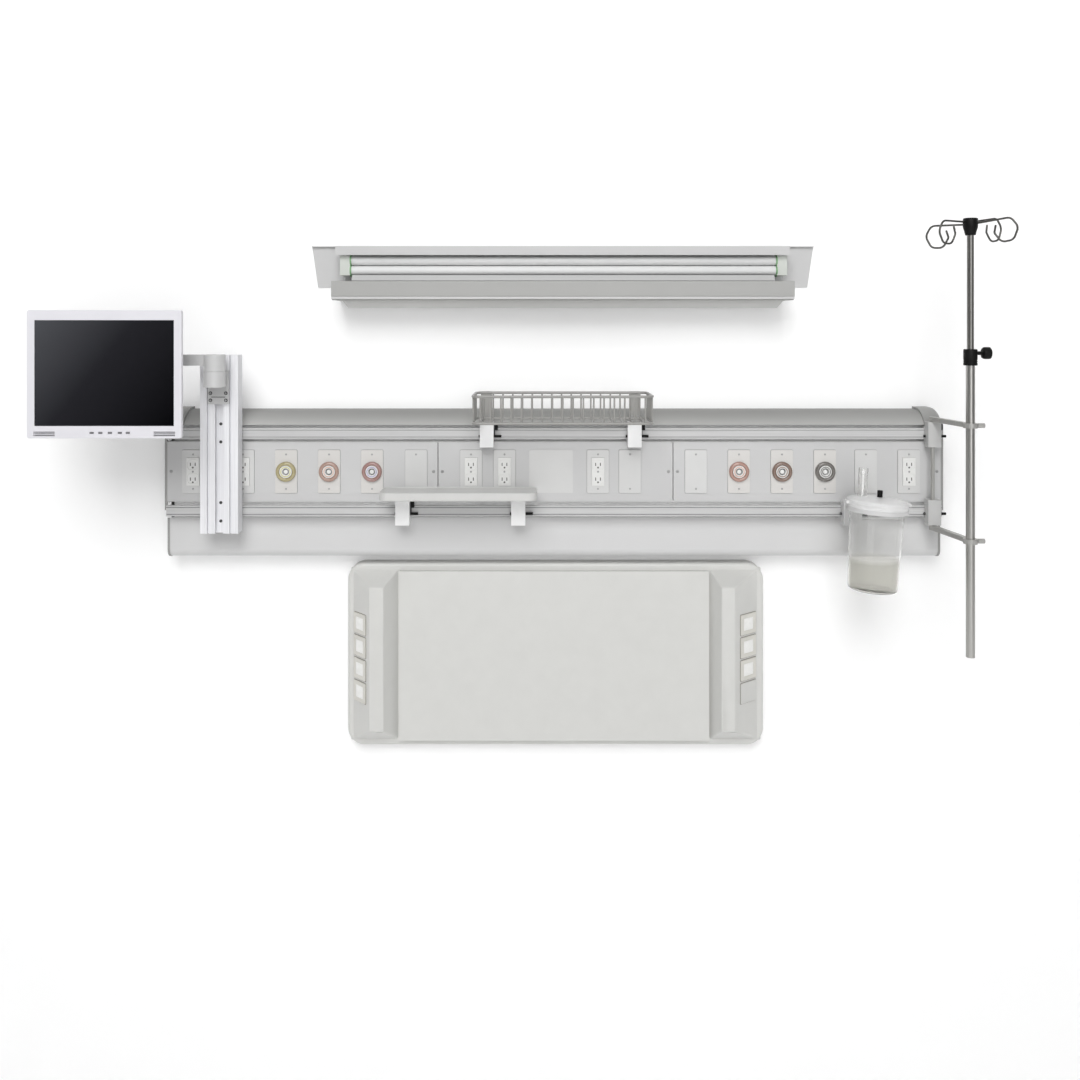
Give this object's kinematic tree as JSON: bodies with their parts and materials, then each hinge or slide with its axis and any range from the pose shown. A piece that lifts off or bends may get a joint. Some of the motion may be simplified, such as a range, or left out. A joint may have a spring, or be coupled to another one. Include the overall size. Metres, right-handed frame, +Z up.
{
  "type": "bed head unit",
  "caption": "Wall-mounted bed head unit: service trunking with outlets and two equipment rails, an over-bed light, a control console and the accessories hung on the rails.",
  "frame": {"origin": "centre of the trunking's back, in the wall's plane", "axes": "+X along the wall to the right, +Y into the wall, +Z up"},
  "size_m": [2.3927, 0.35, 1.4026],
  "materials": {
    "cover_white": "satin",
    "cover_grey": "satin",
    "plate_white": "gloss",
    "chassis_zinc": "matte",
    "rail_aluminium": "satin",
    "screw_steel": "satin",
    "box_grey": "matte",
    "gas_ring": "gloss",
    "gas_brass": "satin",
    "arm_white": "satin",
    "monitor_plastic": "matte",
    "screen_glass": "gloss",
    "basket_wire": "satin",
    "lever_black": "satin",
    "shelf_white": "satin",
    "canister_clear": "gloss",
    "block_grey": "satin",
    "pole_steel": "satin",
    "holder_green": "satin",
    "lamp_white": "gloss",
    "diffuser": "satin",
    "key_grey": "satin"
  },
  "bodies": {
    "wall_set": {"wall_chassis": "chassis_zinc", "top_cover": "cover_grey", "lower_cover": "cover_white", "service_panels": "cover_white", "end_caps": "cover_grey", "upper_rail": "rail_aluminium", "lower_rail": "rail_aluminium", "rail_spacers": "chassis_zinc", "wall_plates": "plate_white", "duplex_outlets": "plate_white", "outlet_boxes": "box_grey", "gas_collars": "gas_ring", "gas_sockets": "gas_brass", "cover_screws": "screw_steel", "column": "rail_aluminium", "column_clamps": "cover_white", "light_tray": "cover_white", "lamp_holders": "holder_green", "lamp_tubes": "lamp_white", "light_shade": "cover_white", "light_diffuser": "diffuser", "console_plate": "chassis_zinc", "console_shell": "cover_white"},
    "carriage": {"arm_post": "arm_white"},
    "arm": {"monitor_arm": "arm_white"},
    "head": {"monitor_head": "arm_white"},
    "monitor": {"monitor_housing": "monitor_plastic", "monitor_bezel": "monitor_plastic", "monitor_screen": "screen_glass", "monitor_key_strip": "monitor_plastic"},
    "basket_set": {"basket": "basket_wire", "basket_clamps": "cover_white"},
    "basket_lever_l": {"basket_lever_left": "lever_black"},
    "basket_lever_r": {"basket_lever_right": "lever_black"},
    "shelf_set": {"shelf": "shelf_white", "shelf_clamps": "cover_white"},
    "shelf_lever_l": {"shelf_lever": "lever_black"},
    "bracket": {"canister_bracket": "cover_white"},
    "jar": {"canister_jar": "canister_clear"},
    "lid": {"canister_lid": "canister_clear", "canister_tube": "canister_clear"},
    "cap": {"canister_cap": "lever_black"},
    "pole_bracket": {"pole_blocks": "block_grey"},
    "pole_lever_u": {"pole_lever": "lever_black"},
    "swing": {"swing_frame": "pole_steel"},
    "screw_u": {"ring_screw_upper": "pole_steel"},
    "screw_l": {"ring_screw_lower": "pole_steel"},
    "lower_pole": {"pole_lower_tube": "pole_steel", "pole_collar": "lever_black"},
    "knob": {"collar_knob": "block_grey"},
    "upper_pole": {"pole_upper_tube": "pole_steel", "hook_head": "block_grey", "hook_wires": "pole_steel"},
    "key_1": {"console_key_1": "key_grey"},
    "key_2": {"console_key_2": "key_grey"},
    "key_3": {"console_key_3": "key_grey"},
    "key_4": {"console_key_4": "key_grey"},
    "key_5": {"console_key_5": "key_grey"},
    "key_6": {"console_key_6": "key_grey"},
    "key_7": {"console_key_7": "key_grey"}
  },
  "joints": [
    {"name": "arm_height", "type": "slide", "parent": "wall_set", "child": "carriage", "axis": [0, 0, 1], "range_m": [-0.3, 0]},
    {"name": "arm_swing", "type": "hinge", "parent": "carriage", "child": "arm", "pos_m": [-0.865, -0.2, 0.303], "axis": [0, 0, 1], "range_deg": [0, 90]},
    {"name": "monitor_swivel", "type": "hinge", "parent": "arm", "child": "head", "pos_m": [-1.087, -0.215, 0.318], "axis": [0, 0, 1], "range_deg": [-90, 18]},
    {"name": "monitor_tilt", "type": "hinge", "parent": "head", "child": "monitor", "pos_m": [-1.087, -0.266, 0.302], "axis": [1, 0, 0], "range_deg": [-20, 5]},
    {"name": "basket_slide", "type": "slide", "parent": "wall_set", "child": "basket_set", "axis": [1, 0, 0], "range_m": [-0.35, 0.25]},
    {"name": "basket_lever_left_turn", "type": "hinge", "parent": "basket_set", "child": "basket_lever_l", "pos_m": [-0.1765, -0.1085, 0.128], "axis": [1, 0, 0], "range_deg": [0, 75]},
    {"name": "basket_lever_right_turn", "type": "hinge", "parent": "basket_set", "child": "basket_lever_r", "pos_m": [0.2105, -0.1085, 0.128], "axis": [1, 0, 0], "range_deg": [0, 75]},
    {"name": "shelf_slide", "type": "slide", "parent": "wall_set", "child": "shelf_set", "axis": [1, 0, 0], "range_m": [-0.3, 0.3]},
    {"name": "shelf_lever_turn", "type": "hinge", "parent": "shelf_set", "child": "shelf_lever_l", "pos_m": [-0.397, -0.1085, -0.076], "axis": [1, 0, 0], "range_deg": [0, 75]},
    {"name": "bracket_slide", "type": "slide", "parent": "wall_set", "child": "bracket", "axis": [1, 0, 0], "range_m": [-0.2, 0.04]},
    {"name": "jar_lift", "type": "slide", "parent": "bracket", "child": "jar", "axis": [0.061, 0, 0.9981], "range_m": [0, 0.25]},
    {"name": "lid_lift", "type": "slide", "parent": "jar", "child": "lid", "axis": [0.061, 0, 0.9981], "range_m": [0, 0.05]},
    {"name": "cap_pull", "type": "slide", "parent": "lid", "child": "cap", "axis": [0.061, 0, 0.9981], "range_m": [0, 0.02]},
    {"name": "pole_bracket_slide", "type": "slide", "parent": "wall_set", "child": "pole_bracket", "axis": [1, 0, 0], "range_m": [-0.04, 0]},
    {"name": "pole_lever_turn", "type": "hinge", "parent": "pole_bracket", "child": "pole_lever_u", "pos_m": [0.994, -0.1085, 0.128], "axis": [1, 0, 0], "range_deg": [0, 75]},
    {"name": "pole_swing", "type": "hinge", "parent": "pole_bracket", "child": "swing", "pos_m": [0.992, -0.1205, 0], "axis": [0, 0, 1], "range_deg": [-10, 60]},
    {"name": "ring_screw_upper_turn", "type": "hinge", "parent": "swing", "child": "screw_u", "pos_m": [1.04, -0.288, 0.174], "axis": [1, 0, 0], "range_deg": [-180, 180]},
    {"name": "ring_screw_lower_turn", "type": "hinge", "parent": "swing", "child": "screw_l", "pos_m": [1.04, -0.288, -0.11], "axis": [1, 0, 0], "range_deg": [-180, 180]},
    {"name": "pole_height", "type": "slide", "parent": "swing", "child": "lower_pole", "axis": [0, 0, 1], "range_m": [-0.12, 0.1]},
    {"name": "collar_knob_turn", "type": "hinge", "parent": "lower_pole", "child": "knob", "pos_m": [1.05, -0.288, 0.352], "axis": [1, 0, 0], "range_deg": [-180, 180]},
    {"name": "pole_extension", "type": "slide", "parent": "lower_pole", "child": "upper_pole", "axis": [0, 0, 1], "range_m": [-0.2, 0.2]},
    {"name": "key_1_press", "type": "slide", "parent": "wall_set", "child": "key_1", "axis": [0.7352, 0.6778, 0], "range_m": [0, 0.002], "stiffness_N_per_m": 900, "springref_m": -0.0003},
    {"name": "key_2_press", "type": "slide", "parent": "wall_set", "child": "key_2", "axis": [0.7352, 0.6778, 0], "range_m": [0, 0.002], "stiffness_N_per_m": 900, "springref_m": -0.0003},
    {"name": "key_3_press", "type": "slide", "parent": "wall_set", "child": "key_3", "axis": [0.7352, 0.6778, 0], "range_m": [0, 0.002], "stiffness_N_per_m": 900, "springref_m": -0.0003},
    {"name": "key_4_press", "type": "slide", "parent": "wall_set", "child": "key_4", "axis": [0.7352, 0.6778, 0], "range_m": [0, 0.002], "stiffness_N_per_m": 900, "springref_m": -0.0003},
    {"name": "key_5_press", "type": "slide", "parent": "wall_set", "child": "key_5", "axis": [-0.62, 0.7846, 0], "range_m": [0, 0.002], "stiffness_N_per_m": 900, "springref_m": -0.0003},
    {"name": "key_6_press", "type": "slide", "parent": "wall_set", "child": "key_6", "axis": [-0.62, 0.7846, 0], "range_m": [0, 0.002], "stiffness_N_per_m": 900, "springref_m": -0.0003},
    {"name": "key_7_press", "type": "slide", "parent": "wall_set", "child": "key_7", "axis": [-0.62, 0.7846, 0], "range_m": [0, 0.002], "stiffness_N_per_m": 900, "springref_m": -0.0003}
  ]
}
